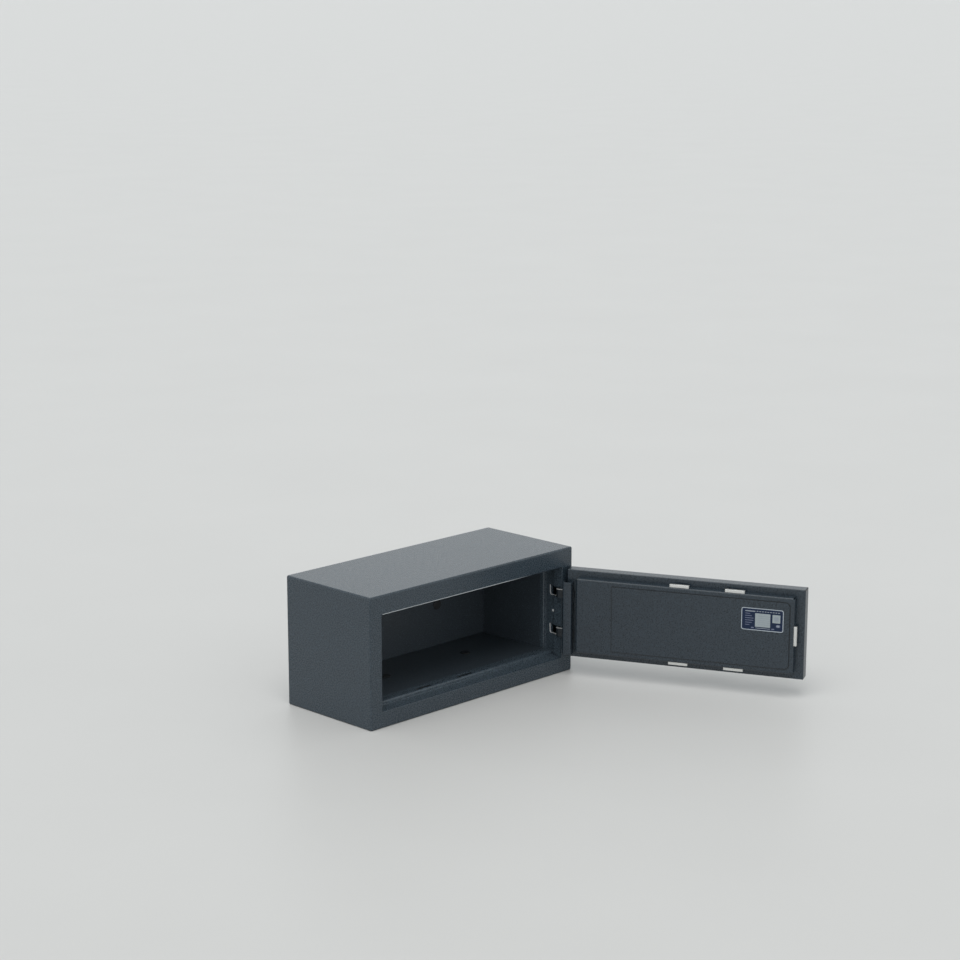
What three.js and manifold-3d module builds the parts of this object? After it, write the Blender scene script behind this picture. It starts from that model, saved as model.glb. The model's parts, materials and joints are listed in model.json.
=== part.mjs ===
// Furniture safe: double-walled cabinet, inset door on concealed strap hinges, five sliding bolts.
// Millimetres, +Z up. The origin is the centre of the cabinet's underside and the front faces -Y.
// The door's pieces are modelled in their closed place and turned together about the hinge axis,
// so the model stands with its door open by DOOR_OPEN degrees and its bolts drawn in.
import * as THREE from 'three';
import { mergeVertices } from 'three/addons/utils/BufferGeometryUtils.js';
import Module from 'manifold-3d';

const wasm = await Module();
wasm.setup();

// Cabinet
const WIDTH = 500;
const DEPTH = 212;
const HEIGHT = 233.5;
const SHELL_SHEET = 2.5;
const EDGE_RADIUS = 3;
const SIDE_RAIL = 27;
const TOP_RAIL = 34.5;
const BOTTOM_RAIL = 29.5;
const OPENING_ROLL = 1.5;

// Door surround behind the front rails
const JAMB_SHEET = 2;
const REBATE_DEPTH = 25.5;
const LIP_STEP = 7.5;
const LIP_DEPTH = 20.5;
const POST_DEPTH = 22;
const POST_STEP = 5;
const BEND = 1;
const SCREW_DEPTH = 26;
const SCREW_DROP = 2;
const SCREW_RADIUS = 2.6;
const SCREW_RISE = 1.3;

// Inner box of the cabinet
const LINER_SHEET = 1.5;
const LINER_INSET_RIGHT = 28;
const BACK_SPACE = 12;

// Anchor holes through the back and the floor
const ANCHOR_HOLE = 6;
const ANCHOR_SPACING = 200;
const FLOOR_ANCHOR_Y = 20;
const PLUG_HEAD = 9.5;
const PLUG_HEAD_THICKNESS = 1.6;
const PLUG_CHAMFER = 1;
const PLUG_LENGTH = 9;

// Door
const DOOR_OPEN = 115;
const GAP_LOW = 4.5;
const GAP_HIGH = 1.5;
const GAP_FREE = 3.5;
const GAP_HINGE = 5.5;
const PAN_DEPTH = 24;
const PAN_SHEET = 2.5;
const PAN_CORNER = 1.5;
const RIM_LAP = 3;

// Raised lock box on the inside of the door
const BOX_HEIGHT = 16;
const BOX_SHEET = 1.5;
const BOX_EDGE = 3;
const BOX_RELIEF = 1.8;
const BOX_MARGIN = 12.2;
const BOX_MARGIN_FREE = 16;
const BOX_MARGIN_HINGE = 20.6;
const COVER_MARGIN = 9.5;
const COVER_MARGIN_FREE = 8;
const COVER_MARGIN_HINGE = 68.7;
const COVER_SHEET = 1.2;
const COVER_CORNER = 8;
const COVER_OVERLAP = 10;

// Hinges
const AXIS_INSET = 9.5;
const AXIS_DEPTH = 9;
const PIN_RADIUS = 3;
const PIN_HEAD_LAP = 1.5;
const PIN_HEAD_THICKNESS = 2;
const STRAP_SHEET = 2.9;
const STRAP_HEIGHT = 15;
const STRAP_BEND = 2.5;
const STRAP_ROOT = 14;
const HINGE_SPREAD = 73;
const WINDOW_MARGIN = 1.5;
const WINDOW_END = 34.5;
const WINDOW_START = 4.5;
const WINDOW_CORNER = 3;
const EAR_THICKNESS = 3;
const BAR_WIDTH = 17;
const BAR_REACH = 4.7;
const BAR_SHEET = 2;
const BAR_END_LOW = 6.5;
const BAR_END_HIGH = 21;

// Bolts and the slides that carry them
const BOLT_WIDTH = 35.5;
const BOLT_THICKNESS = 6.5;
const BOLT_LENGTH = 42;
const BOLT_SHOWS = 4.8;
const BOLT_COVER_GAP = 1;
const BOLT_PITCH = 101;
const BOLT_CENTRE = -45.2;
const THROW = 11;
const SLIDE_SHEET = 3;
const SLIDE_CORNER = 5;
const SLIDE_ARM_WIDTH = 28;
const SLIDE_ARM_LAP = 20;
const SIDE_BOLT_FOOT_WIDTH = 24;
const SIDE_BOLT_FOOT_LENGTH = 18;
const STUD_RADIUS = 4;
const STUD_HEAD = 6.5;
const STUD_HEAD_THICKNESS = 2;
const DRIVE_PIN = 3;
const CRANK = 11;
const CRANK_SWING = 30;
const CRANK_ROOM = 2;
const DISC_RADIUS = 18;
const DISC_THICKNESS = 4;
const SPINDLE_RADIUS = 5;
const GUIDE_X = [BOLT_CENTRE - 88, BOLT_CENTRE + 82];
const CARRIER_GUIDE_X = [BOLT_CENTRE - 20, BOLT_CENTRE + 20];
const CARRIER_PIN_X = [BOLT_CENTRE - 50, BOLT_CENTRE + 40];
const CARRIER_PIN_RISE = 18;
const CARRIER_STUD_RISE = 46;
const CARRIER_LOW = 11;
const CARRIER_HIGH = 54;
const CARRIER_CORNER = 3;
const SLIDE_RISE = 35;
const SLIDE_LEFT = BOLT_CENTRE - 105;
const SLIDE_RIGHT = BOLT_CENTRE + 100;
const TAIL_RISE = 8;
const TOOTH_WIDTH = 4;

// Outer handle and key lock
const ROSE_RADIUS = 24;
const ROSE_THICKNESS = 3;
const ROSE_CHAMFER = 2;
const KNOB_RADIUS = 19;
const KNOB_LENGTH = 26;
const KNOB_TAPER = 1;
const KNOB_CROWN = 4;
const KNOB_CROWN_RISE = 1.2;
const KNOB_SHOULDER = 9;
const KNOB_NECK_RADIUS = 12;
const KNOB_NECK_LENGTH = 4;
const FLUTES = 8;
const FLUTE_RADIUS = 5.5;
const FLUTE_OFFSET = 3.5;
const FLUTE_END = 6;
const SOCKET_DEPTH = 12;
const SOCKET_PLAY = 0.5;
const KEY_X = 93;
const KEY_DROP = 30;
const CORE_RADIUS = 6;
const KEY_CRANK = 4.95;
const KEY_PIN = 1.5;
const KEY_SLOT_BEFORE = 0.5;
const KEY_SLOT_AFTER = 2;
const KEY_SLOT_PLAY = 0.4;
const KEYWAY_DEPTH = 8;
const KEYWAY_WIDTH = 1.4;
const KEYWAY_DROP = 4;
const KEYWAY_ROUND = 1.6;
const KEYWAY_RISE = 1.5;
const LOCK_TRAVEL = 7;
const LOCK_BOLT_WIDTH = 4;
const LOCK_BOLT_SHOWS = 1.5;
const LOCK_TAIL_WIDTH = 14;
const LOCK_TAIL_LOW = 5;
const LOCK_TAIL_HIGH = 6;
const CASE_WALL = 2;
const CASE_LEFT = 15;
const CASE_RIGHT = 19;
const CASE_DROP = 16;
const CASE_BACK = 3;
const SHIELD_RADIUS = 14;
const SHIELD_THICKNESS = 2;
const SHIELD_CHAMFER = 1;
const RIVET_RADIUS = 1.5;
const RIVET_INSET = 4;
const RIVET_HEAD_RADIUS = 3;
const RIVET_HEAD_THICKNESS = 1;
const KEY_COVER_SHEET = 1.8;
const KEY_COVER_EYE = 3.6;
const KEY_COVER_RADIUS = 8;
const KEY_COVER_DROP = 1;
const KEY_COVER_TURN = 0.25;

// Clearances
const FIT = 0.3;
const SLOT_PLAY = 0.7;

// How far a cutting tool reaches past what it cuts, and a joined body into its neighbour
const OVERCUT = 1;
const OVERLAP = 1;

// Points closer than this are one point, and no rounded corner is sharper than this
const SAME_POINT = 1e-4;
const SHARPEST = 0.05;

// Straight steps in an arc of an outline, and sides of a round piece
const STEPS = { bend: 3, corner: 4, slot: 5, cover: 6, drop: 10, eye: 12 };
const SIDES = { keyway: 12, rivet: 16, stud: 20, rod: 24, disc: 32, knob: 40 };
const SCREW_BANDS = 10;

// Places worked out from the sizes
const LEFT = -WIDTH / 2;
const RIGHT = WIDTH / 2;
const FRONT = -DEPTH / 2;
const BACK = DEPTH / 2;
const JAMB_LEFT = LEFT + SIDE_RAIL;
const JAMB_RIGHT = RIGHT - SIDE_RAIL;
const SILL = BOTTOM_RAIL;
const HEAD = HEIGHT - TOP_RAIL;
const FLOOR = SILL + LIP_STEP;
const CEILING = HEAD - LIP_STEP;
const LIP_LEFT = JAMB_LEFT + LIP_STEP;
const LINER_RIGHT = RIGHT - LINER_INSET_RIGHT;
const JAMB_START = FRONT + SHELL_SHEET;
const LIP_FRONT = FRONT + REBATE_DEPTH;
const LIP_END = LIP_FRONT + LIP_DEPTH;
const LINER_BACK = BACK - BACK_SPACE;
const AXIS_X = JAMB_RIGHT + AXIS_INSET;
const AXIS_Y = FRONT + AXIS_DEPTH;

const OPENING_MIDDLE = (SILL + HEAD) / 2;

const DOOR_LEFT = JAMB_LEFT + GAP_FREE;
const DOOR_RIGHT = JAMB_RIGHT - GAP_HINGE;
const DOOR_LOW = SILL + GAP_LOW;
const DOOR_HIGH = HEAD - GAP_HIGH;
const DOOR_MIDDLE = (DOOR_LOW + DOOR_HIGH) / 2;
const RIM_BACK = FRONT + PAN_DEPTH;
const BOX_FACE = RIM_BACK + BOX_HEIGHT;
const BOX_LOW = DOOR_LOW + BOX_MARGIN;
const BOX_HIGH = DOOR_HIGH - BOX_MARGIN;
const BOX_LEFT = DOOR_LEFT + BOX_MARGIN_FREE;
const BOX_RIGHT = DOOR_RIGHT - BOX_MARGIN_HINGE;
const HINGE_LEVELS = [OPENING_MIDDLE - HINGE_SPREAD / 2, OPENING_MIDDLE + HINGE_SPREAD / 2];

const BOLT_BACK = BOX_FACE - BOX_SHEET - BOLT_COVER_GAP;
const BOLT_FRONT = BOLT_BACK - BOLT_THICKNESS;
const CARRIER_FRONT = BOLT_FRONT - FIT - SLIDE_SHEET;
const SLIDE_FRONT = CARRIER_FRONT - 2 * FIT - SLIDE_SHEET;
const DISC_FRONT = SLIDE_FRONT - 2 * FIT - DISC_THICKNESS;
const BOLT_COLUMNS = [BOLT_CENTRE - BOLT_PITCH / 2, BOLT_CENTRE + BOLT_PITCH / 2];
const KEY_Z = DOOR_MIDDLE - KEY_DROP;
const SLOT = DRIVE_PIN + FIT;

// Finishes
const finish = (color, roughness, metalness) =>
  new THREE.MeshStandardMaterial({ color, roughness, metalness });
const paint = finish(0x3c444c, 0.6, 0.2);
const linerPaint = finish(0x353c43, 0.7, 0.1);
const doorPaint = finish(0x3a4148, 0.6, 0.2);
const zinc = finish(0xc8c9c4, 0.35, 0.9);
const steel = finish(0x8f9396, 0.4, 0.9);
const filling = finish(0x9a958c, 0.95, 0);
const plastic = finish(0x202326, 0.6, 0);
const chrome = finish(0xd0d2d3, 0.15, 1);
const brass = finish(0xb59a56, 0.35, 0.9);

// Solids
function solid(geometry) {
  const bare = geometry.clone();
  bare.deleteAttribute('normal');
  bare.deleteAttribute('uv');
  const merged = mergeVertices(bare, SAME_POINT);
  return new wasm.Manifold(new wasm.Mesh({
    numProp: 3,
    vertProperties: Float32Array.from(merged.attributes.position.array),
    triVerts: Uint32Array.from(merged.index.array),
  }));
}

function cut(body, ...tools) {
  return tools.reduce((rest, tool) => rest.subtract(tool), body);
}

function join(...bodies) {
  return bodies.reduce((whole, body) => whole.add(body));
}

function toGeometry(body) {
  const mesh = body.getMesh();
  const geometry = new THREE.BufferGeometry();
  geometry.setAttribute('position', new THREE.BufferAttribute(mesh.vertProperties, 3));
  geometry.setIndex(new THREE.BufferAttribute(mesh.triVerts, 1));
  geometry.computeVertexNormals();
  return geometry;
}

function block(x0, x1, y0, y1, z0, z1) {
  const geometry = new THREE.BoxGeometry(x1 - x0, y1 - y0, z1 - z0);
  geometry.translate((x0 + x1) / 2, (y0 + y1) / 2, (z0 + z1) / 2);
  return solid(geometry);
}

function rectangle(x0, x1, z0, z1, radius = 0) {
  const shape = new THREE.Shape();
  if (radius === 0) {
    shape.moveTo(x0, z0).lineTo(x1, z0).lineTo(x1, z1).lineTo(x0, z1).closePath();
    return shape;
  }
  shape.moveTo(x0 + radius, z0);
  shape.lineTo(x1 - radius, z0).absarc(x1 - radius, z0 + radius, radius, -Math.PI / 2, 0);
  shape.lineTo(x1, z1 - radius).absarc(x1 - radius, z1 - radius, radius, 0, Math.PI / 2);
  shape.lineTo(x0 + radius, z1).absarc(x0 + radius, z1 - radius, radius, Math.PI / 2, Math.PI);
  shape.lineTo(x0, z0 + radius).absarc(x0 + radius, z0 + radius, radius, Math.PI, 1.5 * Math.PI);
  return shape;
}

// The outline as straight steps, without the doubled points where its curves meet
function stepped(shape, steps) {
  const tidy = (points) => points.filter((point, i) => {
    const next = points[(i + 1) % points.length];
    return point.distanceTo(next) > SAME_POINT;
  });
  const plain = new THREE.Shape(tidy(shape.getPoints(steps)));
  plain.holes = shape.holes.map((hole) => new THREE.Path(tidy(hole.getPoints(steps))));
  return plain;
}

function raised(shape, depth, steps) {
  return new THREE.ExtrudeGeometry(stepped(shape, steps), { depth, bevelEnabled: false });
}

// A shape drawn in X and Z, raised along Y from y0 to y1
function alongY(shape, y0, y1, steps = STEPS.corner) {
  const geometry = raised(shape, y1 - y0, steps);
  geometry.rotateX(Math.PI / 2);
  geometry.translate(0, y1, 0);
  return solid(geometry);
}

// A shape drawn in Y and Z, raised along X from x0 to x1
function alongX(shape, x0, x1, steps = STEPS.bend) {
  const geometry = raised(shape, x1 - x0, steps);
  geometry.applyMatrix4(new THREE.Matrix4().set(0, 0, 1, x0, 1, 0, 0, 0, 0, 1, 0, 0, 0, 0, 0, 1));
  return solid(geometry);
}

// A shape drawn in X and Y, raised along Z from z0 to z1
function alongZ(shape, z0, z1, steps = STEPS.bend) {
  const geometry = raised(shape, z1 - z0, steps);
  geometry.translate(0, 0, z0);
  return solid(geometry);
}

// Rounding in steps of a third of a right angle
const THIRDS = [0, 1, 2, 3].map((step) => step * Math.PI / 6);

// A rectangle in X and Z with rounded corners, drawn in by inset, at y
function ring([x0, x1], [z0, z1], y, corner, inset) {
  const r = Math.max(corner - inset, SHARPEST);
  const centres = [[x1 - inset - r, z0 + inset + r], [x1 - inset - r, z1 - inset - r],
    [x0 + inset + r, z1 - inset - r], [x0 + inset + r, z0 + inset + r]];
  return centres.flatMap(([x, z], i) => THIRDS.map((third) => {
    const angle = (i - 1) * Math.PI / 2 + third;
    return [x + r * Math.cos(angle), y, z + r * Math.sin(angle)];
  }));
}

// The solid skinned over rings that follow each other along Y
function loft(rings) {
  const count = rings[0].length;
  const index = [];
  for (let i = 1; i < count - 1; i += 1) {
    const base = (rings.length - 1) * count;
    index.push(0, i, i + 1, base, base + i + 1, base + i);
  }
  for (let j = 0; j < rings.length - 1; j += 1) {
    for (let i = 0; i < count; i += 1) {
      const next = (i + 1) % count;
      const [a, b, c, d] = [j * count + i, j * count + next, (j + 1) * count + next, (j + 1) * count + i];
      index.push(a, d, b, b, d, c);
    }
  }
  const geometry = new THREE.BufferGeometry();
  geometry.setAttribute('position', new THREE.Float32BufferAttribute(rings.flat(2), 3));
  geometry.setIndex(index);
  return solid(geometry);
}

// A block with its four corners along Y rounded, and its front and back edges rolled over
function roundedBlock(xs, [y0, y1], zs, corner, frontRoll = 0, backRoll = 0) {
  const roll = (radius, place) => (radius > 0 ? THIRDS : [Math.PI / 2]).map((angle) =>
    ring(xs, zs, place(radius * (1 - Math.cos(angle))), corner, radius * (1 - Math.sin(angle))));
  const front = roll(frontRoll, (along) => y0 + along);
  const back = roll(backRoll, (along) => y1 - along).reverse();
  return loft([...front, ...back]);
}

// The tool that cuts a square opening whose front edge is rolled in
function rolledOpening(xs, [y0, y1], zs, radius) {
  const edge = THIRDS.map((angle) =>
    ring(xs, zs, y0 + radius * (1 - Math.cos(angle)), 0, -radius * (1 - Math.sin(angle))));
  return loft([ring(xs, zs, y0 - OVERCUT, 0, -radius), ...edge, ring(xs, zs, y1, 0, 0)]);
}

function rodY(x, z, y0, y1, radius, sides = SIDES.rod) {
  const geometry = new THREE.CylinderGeometry(radius, radius, y1 - y0, sides);
  geometry.translate(x, (y0 + y1) / 2, z);
  return solid(geometry);
}

function rodZ(x, y, z0, z1, radius, sides = SIDES.rod) {
  const geometry = new THREE.CylinderGeometry(radius, radius, z1 - z0, sides);
  geometry.rotateX(Math.PI / 2);
  geometry.translate(x, y, (z0 + z1) / 2);
  return solid(geometry);
}

// A turned piece about an axis along Y through x and z; the profile lists [radius, y].
function turnedY(x, z, profile, sides = SIDES.disc) {
  const points = profile.map(([radius, y]) => new THREE.Vector2(radius, y));
  const geometry = new THREE.LatheGeometry(points, sides);
  geometry.translate(x, 0, z);
  return solid(geometry);
}

// The round-ended outline of a slot whose centres run from (x0, z0) to (x1, z1).
function slotShape(x0, z0, x1, z1, radius) {
  const heading = Math.atan2(z1 - z0, x1 - x0);
  const shape = new THREE.Shape();
  shape.absarc(x1, z1, radius, heading - Math.PI / 2, heading + Math.PI / 2);
  shape.absarc(x0, z0, radius, heading + Math.PI / 2, heading + 1.5 * Math.PI);
  shape.closePath();
  return shape;
}

// The section of a folded sheet: the visible face follows the corners, the sheet lies on its left.
function foldedSheet(corners, thickness, bend) {
  const points = corners.map(([u, v]) => new THREE.Vector2(u, v));
  const seen = [points[0].clone()];
  const first = points[1].clone().sub(points[0]).normalize();
  const hidden = [points[0].clone().add(new THREE.Vector2(-first.y, first.x).multiplyScalar(thickness))];
  for (let i = 1; i < points.length - 1; i += 1) {
    const before = points[i].clone().sub(points[i - 1]).normalize();
    const after = points[i + 1].clone().sub(points[i]).normalize();
    const turn = Math.atan2(before.cross(after), before.dot(after));
    const side = Math.sign(turn);
    const seenRadius = side > 0 ? bend + thickness : bend;
    const hiddenRadius = side > 0 ? bend : bend + thickness;
    const reach = seenRadius * Math.tan(Math.abs(turn) / 2);
    const normal = new THREE.Vector2(-before.y, before.x).multiplyScalar(side);
    const centre = points[i].clone().addScaledVector(before, -reach).addScaledVector(normal, seenRadius);
    for (let step = 0; step <= STEPS.bend; step += 1) {
      const spoke = normal.clone().negate().rotateAround(new THREE.Vector2(), turn * step / STEPS.bend);
      seen.push(centre.clone().addScaledVector(spoke, seenRadius));
      hidden.push(centre.clone().addScaledVector(spoke, hiddenRadius));
    }
  }
  const last = points[points.length - 1];
  const final = last.clone().sub(points[points.length - 2]).normalize();
  seen.push(last.clone());
  hidden.push(last.clone().add(new THREE.Vector2(-final.y, final.x).multiplyScalar(thickness)));
  return new THREE.Shape([...seen, ...hidden.reverse()]);
}

function piece(group, name, body, material) {
  const mesh = new THREE.Mesh(toGeometry(body), material);
  mesh.name = name;
  group.add(mesh);
}

// Bolt slots in the door surround, one for each bolt when it is thrown
function boltSlots() {
  const y0 = BOLT_FRONT - SLOT_PLAY;
  const y1 = BOLT_BACK + SLOT_PLAY;
  const half = BOLT_WIDTH / 2 + SLOT_PLAY;
  const upright = (x) => block(x - half, x + half, y0, y1, SILL - LIP_STEP, HEAD + LIP_STEP);
  const side = block(LEFT, BOX_LEFT, y0, y1, DOOR_MIDDLE - half, DOOR_MIDDLE + half);
  return [...BOLT_COLUMNS.map(upright), side];
}

function anchorColumns() {
  return [-ANCHOR_SPACING / 2, ANCHOR_SPACING / 2];
}

function floorAnchors(z0, z1, radius) {
  return anchorColumns().map((x) => rodZ(x, FLOOR_ANCHOR_Y, z0, z1, radius));
}

function backAnchors(y0, y1, radius) {
  return anchorColumns().map((x) => rodY(x, OPENING_MIDDLE, y0, y1, radius));
}

// Cabinet shell: one folded wrapper whose front edges turn in to make the front rails
function cabinetShell() {
  const inner = EDGE_RADIUS - SHELL_SHEET;
  const s = SHELL_SHEET;
  const outside = roundedBlock([LEFT, RIGHT], [FRONT, BACK], [0, HEIGHT], EDGE_RADIUS, EDGE_RADIUS);
  const deep = [FRONT + s, BACK + OVERCUT];
  const inside = roundedBlock([LEFT + s, RIGHT - s], deep, [s, HEIGHT - s], inner, inner);
  const through = [FRONT, FRONT + s + OVERCUT];
  const opening = rolledOpening([JAMB_LEFT, JAMB_RIGHT], through, [SILL, HEAD], OPENING_ROLL);
  return cut(outside, inside, opening, ...floorAnchors(-OVERCUT, s + OVERCUT, ANCHOR_HOLE));
}

function backPlate() {
  const edge = SHELL_SHEET + FIT;
  const plate = alongY(rectangle(LEFT + edge, RIGHT - edge, edge, HEIGHT - edge), BACK - SHELL_SHEET, BACK);
  return cut(plate, ...backAnchors(BACK - SHELL_SHEET - OVERCUT, BACK + OVERCUT, ANCHOR_HOLE));
}

// Sill and head of the door surround: ledge, riser and lip with two bolt slots each
function levelJamb(sill, lip) {
  const corners = [[JAMB_START + FIT, sill], [LIP_FRONT, sill], [LIP_FRONT, lip], [LIP_END, lip]];
  const low = lip > sill;
  const path = low ? corners.slice().reverse() : corners;
  const end = JAMB_RIGHT + POST_STEP - FIT;
  const profile = alongX(foldedSheet(path, JAMB_SHEET, BEND), JAMB_LEFT + FIT, end);
  const post = block(JAMB_RIGHT - FIT, end + OVERCUT, FRONT, FRONT + POST_DEPTH + FIT, 0, HEIGHT);
  return cut(profile, post, ...boltSlots());
}

// Left jamb: flange, riser and lip with the slot of the side bolt
function leftJamb() {
  const path = [
    [JAMB_LEFT, JAMB_START + FIT],
    [JAMB_LEFT, LIP_FRONT],
    [LIP_LEFT, LIP_FRONT],
    [LIP_LEFT, LIP_END],
  ];
  const profile = alongZ(foldedSheet(path, JAMB_SHEET, BEND), SILL - JAMB_SHEET, HEAD + JAMB_SHEET);
  const reach = JAMB_LEFT - FIT;
  const lowEnd = block(reach, 0, FRONT, 0, 0, FLOOR + FIT);
  const highEnd = block(reach, 0, FRONT, 0, CEILING - FIT, HEIGHT);
  return cut(profile, lowEnd, highEnd, ...boltSlots());
}

// A hinge window in Y and Z, with its deep lower corner rounded
function windowOutline(y0, y1, z0, z1) {
  const shape = new THREE.Shape();
  shape.moveTo(y0, z0).lineTo(y1 - WINDOW_CORNER, z0);
  shape.absarc(y1 - WINDOW_CORNER, z0 + WINDOW_CORNER, WINDOW_CORNER, -Math.PI / 2, 0);
  shape.lineTo(y1, z1).lineTo(y0, z1);
  return shape;
}

// Right jamb: hinge post, recess behind it and the two windows that the hinge straps pass
function rightJamb() {
  const recess = JAMB_RIGHT + POST_STEP;
  const postEnd = FRONT + POST_DEPTH;
  const recessEnd = LIP_END - LINER_SHEET;
  const path = [
    [LINER_RIGHT, LIP_END + LIP_STEP],
    [LINER_RIGHT, recessEnd],
    [recess, recessEnd],
    [recess, postEnd],
    [JAMB_RIGHT, postEnd],
    [JAMB_RIGHT, JAMB_START + FIT],
  ];
  const profile = alongZ(foldedSheet(path, JAMB_SHEET, BEND), SILL - JAMB_SHEET, HEAD + JAMB_SHEET);
  const ends = [[0, FLOOR + FIT], [CEILING - FIT, HEIGHT]].map(([low, high]) =>
    block(0, recess, postEnd + JAMB_SHEET, BACK, low, high));
  const half = STRAP_HEIGHT / 2 + WINDOW_MARGIN;
  const windows = HINGE_LEVELS.map((z) => {
    const outline = windowOutline(FRONT + WINDOW_START, FRONT + WINDOW_END, z - half, z + half);
    return alongX(outline, JAMB_RIGHT - OVERCUT, RIGHT);
  });
  return cut(profile, ...ends, ...windows);
}

// Inner box of the cabinet: wrap and back
function linerWrap() {
  const out = LINER_SHEET;
  const y0 = LIP_END + FIT;
  const outside = alongY(
    rectangle(LIP_LEFT - out, LINER_RIGHT + out, FLOOR - out, CEILING + out, out), y0, LINER_BACK - FIT,
  );
  const room = rectangle(LIP_LEFT, LINER_RIGHT, FLOOR, CEILING);
  const inside = alongY(room, y0 - OVERCUT, LINER_BACK + OVERCUT);
  const lap = block(LINER_RIGHT - FIT, RIGHT, y0 - OVERCUT, LIP_END + LIP_STEP + FIT, 0, HEIGHT);
  return cut(outside, inside, lap, ...floorAnchors(0, FLOOR + OVERCUT, ANCHOR_HOLE));
}

function linerBack() {
  const out = LINER_SHEET;
  const plate = alongY(
    rectangle(LIP_LEFT - out, LINER_RIGHT + out, FLOOR - out, CEILING + out), LINER_BACK, LINER_BACK + out,
  );
  return cut(plate, ...backAnchors(LINER_BACK - OVERCUT, LINER_BACK + out + OVERCUT, ANCHOR_HOLE));
}

// Barrier filling between the shell and the inner box
function fillings(group) {
  const out = LINER_SHEET + FIT;
  const x0 = LEFT + SHELL_SHEET + FIT;
  const x1 = RIGHT - SHELL_SHEET - FIT;
  const z0 = SHELL_SHEET + FIT;
  const z1 = HEIGHT - SHELL_SHEET - FIT;
  const y0 = FRONT + SHELL_SHEET + FIT;
  const y1 = BACK - SHELL_SHEET - FIT;
  const step = LIP_END + LIP_STEP + 2 * FIT;
  const low = FLOOR - out;
  const high = CEILING + out;
  const under = SILL - JAMB_SHEET - 2 * FIT;
  const over = HEAD + JAMB_SHEET + 2 * FIT;
  const bottom = [[y0, z0], [y1, z0], [y1, low], [step, low], [step, under], [y0, under]];
  const top = [[y0, z1], [y0, over], [step, over], [step, high], [y1, high], [y1, z1]];
  const outline = (list) => new THREE.Shape(list.map(([y, z]) => new THREE.Vector2(y, z)));
  const bore = ANCHOR_HOLE + FIT;
  const sides = [low + FIT, high - FIT];
  const back = LINER_BACK + out;
  const bottomSlab = alongX(outline(bottom), x0, x1);
  const backSlab = block(x0, x1, back, y1, ...sides);
  const backBores = backAnchors(back - OVERCUT, y1 + OVERCUT, bore);
  piece(group, 'filling_bottom', cut(bottomSlab, ...floorAnchors(0, FLOOR, bore)), filling);
  piece(group, 'filling_top', alongX(outline(top), x0, x1), filling);
  piece(group, 'filling_back', cut(backSlab, ...backBores), filling);
  piece(group, 'filling_left', block(x0, LIP_LEFT - out, step, back - FIT, ...sides), filling);
  piece(group, 'filling_right', block(LINER_RIGHT + out, x1, step + FIT, back - FIT, ...sides), filling);
}

// Plastic plugs that close the anchor holes from inside
function plug(place) {
  const stem = ANCHOR_HOLE - FIT;
  const profile = [
    [0, 0], [stem, 0], [stem, PLUG_LENGTH], [PLUG_HEAD, PLUG_LENGTH],
    [PLUG_HEAD, PLUG_LENGTH + PLUG_HEAD_THICKNESS / 2],
    [PLUG_HEAD - PLUG_CHAMFER, PLUG_LENGTH + PLUG_HEAD_THICKNESS],
    [0, PLUG_LENGTH + PLUG_HEAD_THICKNESS],
  ];
  const points = profile.map(([radius, y]) => new THREE.Vector2(radius, y));
  const geometry = new THREE.LatheGeometry(points, SIDES.stud);
  place(geometry);
  return solid(geometry);
}

function anchorPlugs(group) {
  anchorColumns().forEach((x, i) => {
    const side = i === 0 ? 'left' : 'right';
    const floorPlug = plug((geometry) => {
      geometry.rotateX(Math.PI / 2);
      geometry.translate(x, FLOOR_ANCHOR_Y, FLOOR - PLUG_LENGTH + FIT);
    });
    const backPlug = plug((geometry) => {
      geometry.rotateX(Math.PI);
      geometry.translate(x, LINER_BACK + PLUG_LENGTH - FIT, OPENING_MIDDLE);
    });
    piece(group, `floor_plug_${side}`, floorPlug, plastic);
    piece(group, `back_plug_${side}`, backPlug, plastic);
  });
}

// Hinge brackets inside the hollow right rail, with the pins that carry the door
function hingeSupports(group) {
  const names = ['lower', 'upper'];
  const half = STRAP_HEIGHT / 2 + FIT;
  const plate = RIGHT - SHELL_SHEET - FIT;
  const y0 = FRONT + SHELL_SHEET + FIT;
  const y1 = FRONT + POST_DEPTH - JAMB_SHEET - FIT;
  HINGE_LEVELS.forEach((z, i) => {
    const ends = [z - half - EAR_THICKNESS, z + half + EAR_THICKNESS];
    const whole = block(AXIS_X - PIN_RADIUS - EAR_THICKNESS, plate, y0, y1, ...ends);
    const through = [y0 - OVERCUT, y1 + OVERCUT];
    const room = block(0, plate - EAR_THICKNESS, ...through, z - half, z + half);
    const hole = rodZ(AXIS_X, AXIS_Y, ends[0] - OVERCUT, ends[1] + OVERCUT, PIN_RADIUS + FIT);
    piece(group, `hinge_bracket_${names[i]}`, cut(whole, room, hole), steel);
    const seat = ends[1] + FIT;
    const pin = rodZ(AXIS_X, AXIS_Y, ends[0], seat + OVERLAP, PIN_RADIUS);
    const head = rodZ(AXIS_X, AXIS_Y, seat, seat + PIN_HEAD_THICKNESS, PIN_RADIUS + PIN_HEAD_LAP);
    piece(group, `hinge_pin_${names[i]}`, join(pin, head), steel);
  });
  const screwX = JAMB_RIGHT + POST_STEP - FIT;
  const ball = new THREE.SphereGeometry(SCREW_RADIUS, SIDES.rivet, SCREW_BANDS);
  const dome = ball.scale(SCREW_RISE / SCREW_RADIUS, 1, 1);
  const screw = solid(dome.translate(screwX, FRONT + SCREW_DEPTH, OPENING_MIDDLE - SCREW_DROP));
  piece(group, 'jamb_screw', screw.intersect(block(0, screwX, FRONT, BACK, 0, HEIGHT)), zinc);
}

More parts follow.
